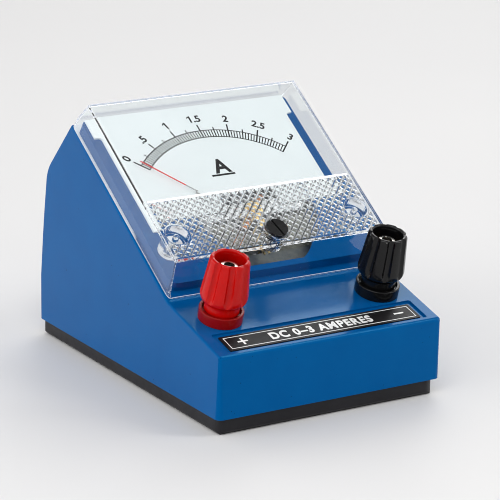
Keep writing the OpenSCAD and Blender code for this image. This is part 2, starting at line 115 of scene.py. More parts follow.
def applied(ob):
    """The object with its modifiers applied."""
    bpy.context.view_layer.update()
    dg = bpy.context.evaluated_depsgraph_get()
    me = bpy.data.meshes.new_from_object(ob.evaluated_get(dg))
    old = ob.data
    ob.modifiers.clear()
    ob.data = me
    bpy.data.meshes.remove(old)
    return ob


def boolean(ob, cutter, operation="DIFFERENCE", keep=False):
    m = ob.modifiers.new("b", "BOOLEAN")
    m.operation = operation
    m.solver = "EXACT"
    m.object = cutter
    applied(ob)
    if not keep:
        bpy.data.objects.remove(cutter)
    return ob


def smooth(ob, angle=30.0, flat_over=None):
    """Shades a piece smooth between sharp edges; faces over flat_over square millimetres stay flat."""
    me = ob.data
    if "custom_normal" in me.attributes:
        me.attributes.remove(me.attributes["custom_normal"])
    me.polygons.foreach_set("use_smooth", [True] * len(me.polygons))
    me.set_sharp_from_angle(angle=math.radians(angle))
    if flat_over is not None:
        me.polygons.foreach_set("use_smooth", [p.area < flat_over * MM * MM for p in me.polygons])
    return ob


def weighted(ob):
    """Big faces keep their own normals and the eased edges bend between them."""
    m = ob.modifiers.new("w", "WEIGHTED_NORMAL")
    m.mode = "FACE_AREA"
    m.weight = 100
    m.keep_sharp = True
    return applied(ob)


def bare(ob):
    ob.data.materials.clear()
    return ob


def from_node(name, node, bevel=0.0, segs=2, angle=28.0, dissolve=0.4, pick=None, first=None):
    """A new piece from a CAD node's mesh, its edges welded and eased."""
    me = nodes[node].data.copy()
    if "custom_normal" in me.attributes:
        me.attributes.remove(me.attributes["custom_normal"])
    bm = bmesh.new()
    bm.from_mesh(me)
    bpy.data.meshes.remove(me)
    bmesh.ops.remove_doubles(bm, verts=bm.verts, dist=2e-6)
    bmesh.ops.dissolve_limit(bm, angle_limit=math.radians(dissolve), verts=bm.verts, edges=bm.edges)
    bm.normal_update()
    if first:
        first(bm)
    if bevel:
        edges = [
            e for e in bm.edges
            if len(e.link_faces) == 2
            and e.calc_face_angle(0) > math.radians(angle)
            and (pick is None or pick(e))
        ]
        bmesh.ops.bevel(
            bm, geom=edges, offset=bevel * MM, offset_type="OFFSET",
            segments=segs, profile=0.5, affect="EDGES", clamp_overlap=True,
            harden_normals=False,
        )
    ob = smooth(from_bmesh(name, bm), 35.0)
    return weighted(ob) if bevel else ob


def cylinder(name, r, z0, z1, x=0.0, y=0.0, n=96, matrix=PANEL):
    bm = bmesh.new()
    bmesh.ops.create_cone(
        bm, cap_ends=True, segments=n, radius1=r * MM, radius2=r * MM, depth=(z1 - z0) * MM,
        matrix=Matrix.Translation((x * MM, y * MM, (z0 + z1) / 2 * MM)),
    )
    return from_bmesh(name, bm, matrix)


def box_piece(name, x0, x1, y0, y1, z0, z1, matrix=PANEL):
    bm = bmesh.new()
    bmesh.ops.create_cube(bm, size=1.0)
    for v in bm.verts:
        v.co = Vector((
            (x0 if v.co.x < 0 else x1) * MM,
            (y0 if v.co.y < 0 else y1) * MM,
            (z0 if v.co.z < 0 else z1) * MM,
        ))
    return from_bmesh(name, bm, matrix)


# ------------------------------------------------------------------ materials
def srgb(r, g, b):
    def one(c):
        c /= 255.0
        return c / 12.92 if c <= 0.04045 else ((c + 0.055) / 1.055) ** 2.4
    return (one(r), one(g), one(b), 1.0)


class Nodes:
    def __init__(self, name):
        self.mat = bpy.data.materials.new(name)
        self.mat.use_nodes = True
        self.nt = self.mat.node_tree
        self.nt.nodes.clear()
        self.out = self.add("ShaderNodeOutputMaterial")
        self.coord = self.add("ShaderNodeTexCoord").outputs["Object"]

    def add(self, kind, **values):
        n = self.nt.nodes.new(kind)
        for k, v in values.items():
            setattr(n, k, v)
        return n

    def link(self, a, b):
        self.nt.links.new(a, b)

    def noise(self, scale, detail=3.0, rough=0.5, coord=None, stretch=None):
        c = coord or self.coord
        if stretch:
            m = self.add("ShaderNodeMapping")
            m.inputs["Scale"].default_value = stretch
            self.link(c, m.inputs["Vector"])
            c = m.outputs[0]
        n = self.add("ShaderNodeTexNoise")
        n.inputs["Scale"].default_value = scale
        n.inputs["Detail"].default_value = detail
        n.inputs["Roughness"].default_value = rough
        self.link(c, n.inputs["Vector"])
        return n.outputs["Fac"]

    def ramp(self, fac, lo, hi, a, b):
        """fac from lo..hi mapped to a..b, clamped."""
        m = self.add("ShaderNodeMapRange")
        m.inputs["From Min"].default_value = lo
        m.inputs["From Max"].default_value = hi
        m.inputs["To Min"].default_value = a
        m.inputs["To Max"].default_value = b
        self.link(fac, m.inputs["Value"])
        return m.outputs["Result"]

    def mix(self, fac, a, b):
        m = self.add("ShaderNodeMix", data_type="RGBA")
        if isinstance(fac, float):
            m.inputs["Factor"].default_value = fac
        else:
            self.link(fac, m.inputs["Factor"])
        for s, v in ((m.inputs[6], a), (m.inputs[7], b)):
            if isinstance(v, tuple):
                s.default_value = v
            else:
                self.link(v, s)
        return m.outputs[2]

    def math(self, op, a, b=None):
        m = self.add("ShaderNodeMath", operation=op)
        for s, v in zip(m.inputs, (a, b)):
            if v is None:
                continue
            if isinstance(v, (int, float)):
                s.default_value = v
            else:
                self.link(v, s)
        return m.outputs[0]

    def bump(self, height, strength, distance, normal=None):
        b = self.add("ShaderNodeBump")
        b.inputs["Strength"].default_value = strength
        b.inputs["Distance"].default_value = distance
        self.link(height, b.inputs["Height"])
        if normal is not None:
            self.link(normal, b.inputs["Normal"])
        return b.outputs[0]

    def principled(self, **values):
        p = self.add("ShaderNodeBsdfPrincipled")
        for k, v in values.items():
            s = p.inputs[k.replace("_", " ")]
            if isinstance(v, (int, float)) or isinstance(v, tuple):
                s.default_value = v
            else:
                self.link(v, s)
        return p

    def done(self, shader):
        self.link(shader, self.out.inputs["Surface"])
        return self.mat


def plastic(name, dark, light, rough=(0.25, 0.35), spec=0.5, tint=None, grain=2200.0, grain_h=0.006,
            mottle=60.0, specks=None, speck_cut=0.76, coat=0.0):
    n = Nodes(name)
    big = n.noise(mottle, 4.0, 0.55)
    col = n.mix(n.ramp(big, 0.35, 0.65, 0.0, 1.0), dark, light)
    if specks:
        fine = n.noise(900.0, 1.0, 0.4)
        sp = n.ramp(fine, speck_cut, speck_cut + 0.03, 0.0, 1.0)
        col = n.mix(sp, col, specks)
    r = n.ramp(n.noise(210.0, 5.0, 0.6), 0.3, 0.7, rough[0], rough[1])
    peel = n.noise(grain, 2.0, 0.5)
    b = n.bump(peel, 0.35, grain_h * MM)
    p = n.principled(Base_Color=col, Roughness=r, Normal=b, Specular_IOR_Level=spec)
    if tint:
        p.inputs["Specular Tint"].default_value = tint
    if coat:
        p.inputs["Coat Weight"].default_value = coat
        p.inputs["Coat Roughness"].default_value = 0.06
    return n.done(p.outputs[0])


def metal(name, a, b, rough=(0.18, 0.32), brush=(1.0, 1.0, 1.0), scale=2600.0, h=0.004, metallic=1.0):
    n = Nodes(name)
    tone = n.noise(420.0, 4.0, 0.6)
    col = n.mix(n.ramp(tone, 0.3, 0.7, 0.0, 1.0), a, b)
    lines = n.noise(scale, 3.0, 0.55, stretch=brush)
    r = n.ramp(lines, 0.25, 0.75, rough[0], rough[1])
    bp = n.bump(lines, 0.3, h * MM)
    p = n.principled(Base_Color=col, Roughness=r, Normal=bp, Metallic=metallic)
    return n.done(p.outputs[0])


def clear_plastic(name, tint=(0.955, 0.975, 0.985, 1.0), painted_sheen=0.0):
    """Clear polystyrene: bends and mirrors what rays meet, and lets lamps light what it covers."""
    n = Nodes(name)
    wav = n.noise(120.0, 2.0, 0.5)
    scratch = n.noise(1500.0, 2.0, 0.6, stretch=(1.0, 0.12, 0.12))
    r = n.ramp(scratch, 0.62, 0.74, 0.004, 0.05)
    b = n.bump(wav, 0.06, 0.02 * MM)
    glass = n.principled(
        Base_Color=tint, Roughness=r, Normal=b, IOR=1.5, Transmission_Weight=1.0,
    )
    through = n.add("ShaderNodeBsdfTransparent")
    through.inputs["Color"].default_value = (0.97, 0.98, 0.99, 1.0)
    path = n.add("ShaderNodeLightPath")
    fac = n.math("MAXIMUM", path.outputs["Is Shadow Ray"], path.outputs["Is Diffuse Ray"])
    m = n.add("ShaderNodeMixShader")
    n.link(fac, m.inputs[0])
    n.link(glass.outputs[0], m.inputs[1])
    n.link(through.outputs[0], m.inputs[2])
    # a white matt skin mixed into the glass is painted sheen: it whitens the surface from every side
    if painted_sheen:
        painted_sheen_skin = n.principled(Base_Color=(0.93, 0.95, 0.97, 1.0), Roughness=0.6, Specular_IOR_Level=0.2)
        both = n.add("ShaderNodeMixShader")
        both.inputs[0].default_value = painted_sheen
        n.link(m.outputs[0], both.inputs[1])
        n.link(painted_sheen_skin.outputs[0], both.inputs[2])
        return n.done(both.outputs[0])
    return n.done(m.outputs[0])


def pale_painted_light(name):
    """Cut edge of the clear plastic, painted pale: a painted highlight of the light the clear edge refracts; half of it
    scatters.
    """
    n = Nodes(name)
    tone = n.noise(700.0, 3.0, 0.5)
    col = n.mix(tone, (0.88, 0.9, 0.93, 1), (0.97, 0.98, 0.99, 1))
    p = n.principled(Base_Color=col, Roughness=n.ramp(tone, 0.3, 0.7, 0.35, 0.5), Normal=n.bump(tone, 0.3, 0.01 * MM),
                     IOR=1.5)
    through = n.add("ShaderNodeBsdfTransparent")
    through.inputs["Color"].default_value = (0.97, 0.98, 0.99, 1.0)
    m = n.add("ShaderNodeMixShader")
    m.inputs[0].default_value = 0.2
    n.link(p.outputs[0], m.inputs[1])
    n.link(through.outputs[0], m.inputs[2])
    return n.done(m.outputs[0])


M = {}
M["blue"] = plastic(
    "shell_blue", (0.0, 0.076, 0.262, 1), (0.0, 0.083, 0.278, 1), rough=(0.12, 0.18), spec=0.2,
    tint=(0.05, 0.75, 1.0, 1), grain=1500.0, grain_h=0.004, specks=(0.001, 0.016, 0.06, 1), speck_cut=0.80,
)
M["base"] = plastic("base_black", srgb(14, 13, 18), srgb(20, 19, 24), rough=(0.42, 0.55), spec=0.3, grain=2600, grain_h=0.01)
M["knob"] = plastic("knob_black", srgb(13, 13, 14), srgb(21, 21, 22), rough=(0.22, 0.34), spec=0.4, grain=2600, grain_h=0.004)
M["red"] = plastic("post_red", srgb(174, 6, 4), srgb(186, 9, 6), rough=(0.13, 0.2), spec=0.2, grain=1400, grain_h=0.004)
# a darker copy of the post's red for the collar: painted shade under the cap
M["red_foot_painted_shade"] = plastic("post_red_foot", srgb(122, 5, 5), srgb(136, 7, 8), rough=(0.16, 0.26), spec=0.2, grain=1400, grain_h=0.004)
M["black"] = plastic("post_black", srgb(8, 8, 9), srgb(13, 13, 14), rough=(0.14, 0.22), spec=0.28, grain=1400, grain_h=0.005,
                     specks=srgb(120, 120, 118), speck_cut=0.79)
M["dial"] = plastic("dial_white", srgb(232, 238, 237), srgb(237, 243, 242), rough=(0.42, 0.5), spec=0.35, grain=3000, grain_h=0.002, mottle=25)
M["ink"] = plastic("dial_ink", srgb(5, 5, 7), srgb(10, 10, 12), rough=(0.6, 0.7), spec=0.1)
M["label"] = plastic("label_black", srgb(18, 18, 20), srgb(22, 21, 23), rough=(0.4, 0.5), spec=0.2, grain=2800)
M["label_white"] = plastic("label_white", srgb(222, 224, 224), srgb(236, 237, 236), rough=(0.4, 0.5), spec=0.4)
# white in place of bright steel: painted highlight for the screws seen through the cover
M["pale_screw_painted_highlight"] = plastic("pale_screw_painted_highlight", srgb(214, 217, 217), srgb(228, 230, 230), rough=(0.3, 0.42))
M["insulator"] = plastic("insulator_grey", srgb(200, 198, 186), srgb(214, 212, 202), rough=(0.4, 0.5))
M["lead_red"] = plastic("lead_red", srgb(150, 20, 18), srgb(170, 28, 24), rough=(0.35, 0.45))
M["lead_black"] = plastic("lead_black", srgb(22, 22, 23), srgb(30, 30, 31), rough=(0.35, 0.45))
M["steel"] = metal("steel_bright", (0.62, 0.62, 0.61, 1), (0.72, 0.72, 0.71, 1), rough=(0.16, 0.3), brush=(1, 0.2, 1))
M["nickel"] = metal("post_nickel", (0.66, 0.64, 0.60, 1), (0.78, 0.76, 0.72, 1), rough=(0.12, 0.24), brush=(1, 1, 0.15))
M["alu"] = metal("aluminium_sheet", (0.56, 0.565, 0.56, 1), (0.66, 0.665, 0.66, 1), rough=(0.3, 0.45), brush=(0.08, 1, 1), scale=1800)
# the movement plate's metal is darkened: painted shade inside the meter
M["plate"] = metal("plate_olive_painted_shade", (0.11, 0.11, 0.09, 1), (0.17, 0.168, 0.14, 1), rough=(0.34, 0.5), brush=(0.1, 1, 1), scale=1500)
M["iron"] = metal("iron_grey", (0.10, 0.10, 0.10, 1), (0.16, 0.16, 0.16, 1), rough=(0.35, 0.5))
M["magnet"] = metal("magnet_grey", (0.12, 0.12, 0.125, 1), (0.18, 0.18, 0.185, 1), rough=(0.25, 0.4))
M["brass"] = metal("brass_turned", (0.62, 0.43, 0.17, 1), (0.74, 0.53, 0.24, 1), rough=(0.2, 0.34), brush=(1, 1, 0.2))
M["bronze"] = metal("spring_bronze", (0.60, 0.36, 0.16, 1), (0.72, 0.44, 0.22, 1), rough=(0.2, 0.3))
M["shunt"] = metal("shunt_alloy", (0.42, 0.33, 0.24, 1), (0.52, 0.42, 0.31, 1), rough=(0.3, 0.45))
M["clear"] = clear_plastic("cover_clear")
M["pale_edge_painted_light"] = pale_painted_light("cover_edge_painted_light")
# the pyramid facets get a little painted white sheen, the side roundings a strong painted highlight
M["clear_facet"] = clear_plastic("cover_facets_painted_sheen", painted_sheen=0.07)
M["clear_round"] = clear_plastic("cover_rounding_painted_highlight", painted_sheen=0.4)


def copper():
    """Enamelled winding: fine turns across the coil's frame."""
    n = Nodes("coil_copper")
    w = n.add("ShaderNodeTexWave", wave_type="BANDS", bands_direction="Z")
    w.inputs["Scale"].default_value = 700.0
    w.inputs["Distortion"].default_value = 0.4
    n.link(n.coord, w.inputs["Vector"])
    col = n.mix(w.outputs["Fac"], (0.30, 0.10, 0.03, 1), (0.62, 0.24, 0.09, 1))
    p = n.principled(Base_Color=col, Roughness=n.ramp(w.outputs["Fac"], 0, 1, 0.3, 0.4), Metallic=0.8,
                     Normal=n.bump(w.outputs["Fac"], 0.6, 0.04 * MM))
    return n.done(p.outputs[0])


M["copper"] = copper()


def pointer_paint():
    """Red lacquer on the outer arm, bare wire near the crank."""
    n = Nodes("pointer_two_tone")
    d = n.add("ShaderNodeVectorMath", operation="DISTANCE")
    n.link(n.coord, d.inputs[0])
    d.inputs[1].default_value = tuple(pivot)
    fac = n.ramp(d.outputs["Value"], 27.3 * MM, 27.7 * MM, 0.0, 1.0)
    tone = n.noise(900.0, 3.0, 0.5)
    red = n.mix(tone, srgb(205, 18, 26), srgb(228, 34, 40))
    bare_wire = n.mix(tone, srgb(150, 150, 150), srgb(188, 188, 186))
    col = n.mix(fac, bare_wire, red)
    p = n.principled(Base_Color=col, Roughness=n.ramp(tone, 0.3, 0.7, 0.28, 0.4),
                     Metallic=n.ramp(fac, 0.0, 1.0, 0.6, 0.0))
    return n.done(p.outputs[0])


M["pointer"] = pointer_paint()


def paint(ob, key):
    ob.data.materials.clear()
    ob.data.materials.append(M[key])
    return ob


def repaint_node(node, key):
    o = nodes[node]
    if not o.material_slots:
        o.data.materials.append(M[key])
    for s in o.material_slots:
        s.material = M[key]


# ------------------------------------------------------------------ case
def round_outside(bm):
    """Rounds the outline where the side walls meet the front, ledge, panel, roof and back."""
    hw = max(v.co.x for v in bm.verts)
    back_y = max(v.co.y for v in bm.verts)
    roof_z = max(v.co.z for v in bm.verts)
    edges = []
    for e in bm.edges:
        if len(e.link_faces) != 2 or e.calc_face_angle(0) < math.radians(40):
            continue
        a, b = e.verts
        if min(abs(a.co.x), abs(b.co.x)) < hw - 2.3 * MM or not e.is_convex:
            continue
        if min(a.co.z, b.co.z) < nodes_low + 0.5 * MM:
            continue
        # the back's upright corners have their own round
        if max(a.co.y, b.co.y) > back_y - 14 * MM and min(a.co.z, b.co.z) < roof_z - 40 * MM:
            continue
        edges.append(e)
    bmesh.ops.bevel(bm, geom=edges, offset=0.9 * MM, offset_type="OFFSET", segments=4, profile=0.5,
                    affect="EDGES", clamp_overlap=False, harden_normals=False)
    bmesh.ops.remove_doubles(bm, verts=bm.verts, dist=1e-6)
    bm.normal_update()


nodes_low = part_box("case_shell")[0][2]
shell = from_node("shell", "case_shell", bevel=0.3, segs=2, angle=32.0, first=round_outside)
paint(shell, "blue")
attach(shell, "case")
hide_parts("case_shell")

base = from_node("foot_plate", "base_plate", bevel=0.25, segs=2)


def round_corners(ob, node, r):
    """Cuts the four upright corners of a piece to a plan radius."""
    low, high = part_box(node)
    bm = bmesh.new()
    pts = []
    for k in range(4):
        cx = (high[0] - r * MM) * (1 if k in (0, 3) else -1)
        cy = (high[1] - r * MM) * (1 if k < 2 else -1)
        for i in range(13):
            a = math.radians(90 * k + 90 * i / 12)
            pts.append((cx + r * MM * math.cos(a), cy + r * MM * math.sin(a)))
    lo = [bm.verts.new((x, y, low[2] - 0.002)) for x, y in pts]
    hi = [bm.verts.new((x, y, high[2] + 0.002)) for x, y in pts]
    bm.faces.new(list(reversed(lo)))
    bm.faces.new(hi)
    for i in range(len(pts)):
        j = (i + 1) % len(pts)
        bm.faces.new((lo[i], lo[j], hi[j], hi[i]))
    boolean(ob, from_bmesh("corner_cut", bm), "INTERSECT")
    return smooth(ob, 30.0)


round_corners(base, "base_plate", 5.5)
paint(base, "base")
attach(base, "case")
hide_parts("base_plate")

# ------------------------------------------------------------------ cover
COVER_H = 15.0
INNER_H = 13.4
T_TOP, T_END = 55.4, 82.0        # the prismatic zone, down the panel
ZONE_X = 44.2
PITCH = 2.42
DEPTH = 1.15
GAP = 0.12                       # half the plain land left between rows of pits
LAND = INNER_H - 0.03            # where neighbouring pits would meet
ROOT = 12.4                      # the cutter's own root, in the air under the window
BOSSES = ((39.2, 71.3), (-39.2, 71.3))
ADJUSTER = (0.0, 77.0)


def relief():
    """A cutter whose top is a field of square pyramids set at 45 degrees, points up."""
    bm = bmesh.new()
    k = math.sqrt(0.5)
    n = 26
    t_mid = (T_TOP + T_END) / 2

    def at(a, b, z):
        # the lattice's own axes run at 45 degrees to the panel's
        x = (a - b) * k
        y = (a + b) * k
        return bm.verts.new((x * MM, (PIVOT_T - t_mid + y) * MM, z * MM))

    grid = {}

    def corner(i, j, side):
        # side -1 and +1 are the two edges of the plain land that runs between rows of pits
        if (i, j, side) not in grid:
            grid[i, j, side] = at((i - 0.5) * PITCH, (j - 0.5) * PITCH + side * GAP, LAND)
        return grid[i, j, side]

    cells = set()
    for i in range(-n, n):
        for j in range(-n, n):
            x = (i - j) * PITCH * k
            y = (i + j) * PITCH * k
            if abs(x) <= ZONE_X + 4 and abs(y) <= (T_END - T_TOP) / 2 + 4:
                cells.add((i, j))
    for i in range(-n, n):
        for j in range(-n, n):
            if (i, j) not in cells:
                continue
            tip = at(i * PITCH, j * PITCH, LAND + DEPTH)
            c = [corner(i, j, 1), corner(i + 1, j, 1), corner(i + 1, j + 1, -1), corner(i, j + 1, -1)]
            for q in range(4):
                bm.faces.new((c[q], c[(q + 1) % 4], tip))
            if (i, j + 1) in cells:
                bm.faces.new((corner(i, j + 1, -1), corner(i + 1, j + 1, -1), corner(i + 1, j + 1, 1), corner(i, j + 1, 1)))
    # close it downwards
    rim = [e for e in bm.edges if len(e.link_faces) == 1]
    ret = bmesh.ops.extrude_edge_only(bm, edges=rim)
    up = [v for v in ret["geom"] if isinstance(v, bmesh.types.BMVert)]
    for v in up:
        v.co.z = ROOT * MM
    rim = [e for e in bm.edges if len(e.link_faces) == 1]
    bmesh.ops.contextual_create(bm, geom=rim)
    bmesh.ops.recalc_face_normals(bm, faces=bm.faces)
    return from_bmesh("prism_field", bm, PANEL)


def thin_walls(bm):
    """Moves the inner faces of the four side walls outwards, so that the walls are 0.75 mm thick."""
    back = PANEL.inverted()
    for v in bm.verts:
        q = back @ v.co
        x, t, h = q.x / MM, PIVOT_T - q.y / MM, q.z / MM
        f = h / COVER_H
        moved = False
        gap = 47.0 - 1.1 * f - abs(x)
        if 0.9 < gap < 1.6:
            x += math.copysign(0.45, x)
            moved = True
        if 0.9 < t - (0.2 + 4.2 * f) < 1.8:
            t -= 0.45
            moved = True
        if 0.9 < (89.4 - 6.1 * f) - t < 1.8:
            t += 0.45
            moved = True
        if moved:
            v.co = PANEL @ panel_pt(x, t, h)


def make_cover():
    cov = from_node("window", "clear_cover", bevel=0.45, segs=4, angle=40.0, first=thin_walls)
    field = relief()
    zone = box_piece("zone", -ZONE_X, ZONE_X, PIVOT_T - T_END, PIVOT_T - T_TOP, ROOT - 0.5, 15.5)
    boolean(field, zone, "INTERSECT")
    # plain discs round the two bosses and round the adjuster's boss
    for x, t, r in [(x, t, 5.2) for x, t in BOSSES] + [ADJUSTER + (5.1,)]:
        boolean(field, cylinder("disc", r, 8, 20, x, PIVOT_T - t))
    boolean(cov, field)
    # the step that starts the field: a shallow slope down to its first row
    bm = bmesh.new()
    prof = [(53.9, INNER_H - 0.05), (T_TOP, INNER_H + 0.95), (T_TOP + 0.02, INNER_H - 0.05)]
    ends = [[bm.verts.new((x * MM, (PIVOT_T - t) * MM, h * MM)) for t, h in prof] for x in (-ZONE_X, ZONE_X)]
    bm.faces.new(ends[0])
    bm.faces.new(list(reversed(ends[1])))
    for q in range(3):
        r = (q + 1) % 3
        bm.faces.new((ends[0][q], ends[0][r], ends[1][r], ends[1][q]))
    bmesh.ops.recalc_face_normals(bm, faces=bm.faces)
    boolean(cov, from_bmesh("step_cut", bm, PANEL))
    return smooth(cov, 25.0, flat_over=4.0)


cover = make_cover()
paint(cover, "clear")
# the moulding's foot gets a pale edge: a painted highlight of the light its clear rim refracts
cover.data.materials.append(M["pale_edge_painted_light"])
cover.data.materials.append(M["clear_facet"])
cover.data.materials.append(M["clear_round"])
to_panel = PANEL.inverted()
for poly in cover.data.polygons:
    c = to_panel @ poly.center
    if c.z < 0.44 * MM:
        poly.material_index = 1
    # the pyramid facets, away from the bosses, get the painted sheen
    elif INNER_H * MM < c.z < (COVER_H - 0.05) * MM and abs(c.x) < ZONE_X * MM and (to_panel.to_3x3() @ poly.normal).z > -0.9:
        inside = min((Vector((c.x / MM, PIVOT_T - c.y / MM)) - Vector(b)).length for b in BOSSES + (ADJUSTER,))
        if inside > 5.0:
            poly.material_index = 2
    else:
        nn = to_panel.to_3x3() @ poly.normal
        # the rounded top edges of the side walls get the painted highlight
        if c.z > 13 * MM and abs(c.x) > 43 * MM and abs(nn.x) > 0.12 and 0.12 < abs(nn.z) < 0.985:
            poly.material_index = 3
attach(cover, "case")
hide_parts("clear_cover")

# the ends of the two bosses get the same pale material: painted light in the clear bosses
for side, (bx, bt) in zip(("right", "left"), BOSSES):
    seat = cylinder("boss_seat_" + side, 3.5, 4.502, 4.62, bx, PIVOT_T - bt)
    hole = cylinder("hole", 1.25, 4.0, 5.0, bx, PIVOT_T - bt, n=48)
    boolean(seat, hole)
    smooth(seat, 30.0)
    paint(seat, "pale_edge_painted_light")
    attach(seat, "case")

# ------------------------------------------------------------------ posts
CAP_PROFILE = [
    (3.4, 8.0), (3.4, 3.85), (3.65, 3.6), (6.35, 3.6), (6.6, 3.85), (6.6, 6.9), (6.75, 7.3), (7.25, 7.62), (7.9, 8.1),
    (8.4, 8.75), (8.7, 9.5), (8.82, 10.6), (8.7, 11.8), (8.43, 14.4), (8.12, 17.2), (7.8, 20.4), (7.5, 23.2),
    (7.36, 24.5), (7.2, 24.95), (6.95, 25.25), (6.6, 25.4), (6.15, 25.38), (5.85, 25.2), (5.68, 24.8), (5.6, 24.2), (5.6, 19.0),
    (5.0, 19.0), (5.0, 8.0),
]


def make_cap(name, colour):
    """The fluted cap, turned from its profile, with eight grooves that run out below the widest ring."""
    bm = bmesh.new()
    seg = 240
    prof = []
    for (r0, z0), (r1, z1) in zip(CAP_PROFILE, CAP_PROFILE[1:]):
        steps = max(1, int(math.hypot(r1 - r0, z1 - z0) / 0.7))
        prof += [(r0 + (r1 - r0) * s / steps, z0 + (z1 - z0) * s / steps) for s in range(steps)]
    rings = []
    for r, z in prof:
        ring = []
        for i in range(seg):
            a = 2 * math.pi * i / seg
            rr = r
            if z > 8.2 and r > 5.75:
                # distance round the cap to the nearest groove
                d = (math.degrees(a) - 22.5) % 45.0
                d = min(d, 45.0 - d)
                axis = 9.12 - math.tan(math.radians(5.9)) * max(z - 10.6, 0.0)
                gr = 1.48
                if z < 10.6:
                    gr = math.sqrt(max(gr * gr - (10.6 - z) ** 2, 0.0))
                y = axis * math.sin(math.radians(d))
                if abs(y) < gr:
                    cut = axis * math.cos(math.radians(d)) - math.sqrt(gr * gr - y * y)
                    # ease the groove's lips a little
                    rr = min(rr, max(cut, 5.75)) if cut < r else rr
            ring.append(bm.verts.new((rr * math.cos(a) * MM, rr * math.sin(a) * MM, z * MM)))
        rings.append(ring)
    n = len(rings)
    for k in range(n):
        a, b = rings[k], rings[(k + 1) % n]
        for i in range(seg):
            j = (i + 1) % seg
            bm.faces.new((a[i], a[j], b[j], b[i]))
    bmesh.ops.recalc_face_normals(bm, faces=bm.faces)
    ob = from_bmesh(name, bm, post_frame(colour))
    return smooth(ob, 42.0)


for colour in ("red", "black"):
    cap = make_cap(colour + "_grip", colour)
    paint(cap, colour)
    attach(cap, colour + "_cap")
    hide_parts(colour + "_cap")
    col = from_node(colour + "_foot_ring", colour + "_collar", bevel=0.3, segs=3)
    # the red collar takes the darker red copy, painted shade under the cap
    paint(col, "red_foot_painted_shade" if colour == "red" else "black")
    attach(col, "case")
    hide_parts(colour + "_collar")
    stud = from_node(colour + "_socket", colour + "_stud", bevel=0.25, segs=2)
    paint(stud, "nickel")
    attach(stud, "case")
    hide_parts(colour + "_stud")

# ------------------------------------------------------------------ adjuster
knob = from_node("adjuster_knob", "zero_adjuster", bevel=0.18, segs=2)
paint(knob, "knob")
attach(knob, "adjuster")
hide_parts("zero_adjuster")

# ------------------------------------------------------------------ prints
PRINT = 0.012     # thickness of the printed ink, mm
DIAL_Z = 5.2


def quad(bm, pts, z0, z1):
    """A closed thin prism over a convex outline of points in millimetres."""
    lo = [bm.verts.new((x * MM, y * MM, z0 * MM)) for x, y in pts]
    hi = [bm.verts.new((x * MM, y * MM, z1 * MM)) for x, y in pts]
    bm.faces.new(list(reversed(lo)))
    bm.faces.new(hi)
    n = len(pts)
    for i in range(n):
        j = (i + 1) % n
        bm.faces.new((lo[i], lo[j], hi[j], hi[i]))


def polar(r, deg):
    """deg is measured to the left of up the panel."""
    a = math.radians(deg)
    return (-r * math.sin(a), r * math.cos(a))


def radial_bar(bm, deg, r0, r1, w, z0, z1):
    a = math.radians(deg)
    dx, dy = -math.sin(a), math.cos(a)
    px, py = dy * w / 2, -dx * w / 2
    quad(bm, [(dx * r0 - px, dy * r0 - py), (dx * r0 + px, dy * r0 + py),
              (dx * r1 + px, dy * r1 + py), (dx * r1 - px, dy * r1 - py)], z0, z1)


def arc_band(bm, r, w, a0, a1, z0, z1, steps):
    for i in range(steps):
        d0, d1 = a0 + (a1 - a0) * i / steps, a0 + (a1 - a0) * (i + 1) / steps
        quad(bm, [polar(r + w / 2, d0), polar(r - w / 2, d0), polar(r - w / 2, d1), polar(r + w / 2, d1)], z0, z1)


def text_mesh(body, size, matrix, thick, z, bold=0.0, stretch=1.0, spacing=1.0):
    """Lettering as a thin solid, centred at the matrix's origin."""
    cu = bpy.data.curves.new("t", "FONT")
    cu.body = body
    cu.size = size * MM
    cu.align_x = "CENTER"
    cu.align_y = "CENTER"
    cu.extrude = thick / 2 * MM
    cu.offset = bold * MM
    cu.resolution_u = 8
    cu.space_character = spacing
    ob = bpy.data.objects.new("t", cu)
    bpy.context.scene.collection.objects.link(ob)
    bpy.context.view_layer.update()
    me = bpy.data.meshes.new_from_object(ob.evaluated_get(bpy.context.evaluated_depsgraph_get()))
    if body[0] == "1":
        left = min(v.co.x for v in me.vertices)
        top = max(v.co.y for v in me.vertices)
        fl = bmesh.new()
        fl.from_mesh(me)
        quad(fl, [(left / MM + 0.05, top / MM), (left / MM - 0.95, top / MM - 0.62), (left / MM - 0.95, top / MM - 1.12),
                  (left / MM + 0.05, top / MM - 0.62)], -thick / 2, thick / 2)
        fl.to_mesh(me)
        fl.free()
    xs = [v.co.x for v in me.vertices]
    ys = [v.co.y for v in me.vertices]
    cx, cy = (min(xs) + max(xs)) / 2, (min(ys) + max(ys)) / 2
    me.transform(Matrix.Translation((-cx, -cy, 0)))
    me.transform(Matrix.Diagonal((stretch, 1, 1, 1)))
    me.transform(Matrix.Translation((0, 0, z * MM)))
    me.transform(matrix)
    bpy.data.objects.remove(ob)
    bpy.data.curves.remove(cu)
    return me


def join_into(bm, me):
    one = bmesh.new()
    one.from_mesh(me)
    bpy.data.meshes.remove(me)
    bmesh.ops.remove_doubles(one, verts=one.verts, dist=1e-7)
    bmesh.ops.recalc_face_normals(one, faces=one.faces)
    me = bpy.data.meshes.new("t")
    one.to_mesh(me)
    one.free()
    bm.from_mesh(me)
    bpy.data.meshes.remove(me)


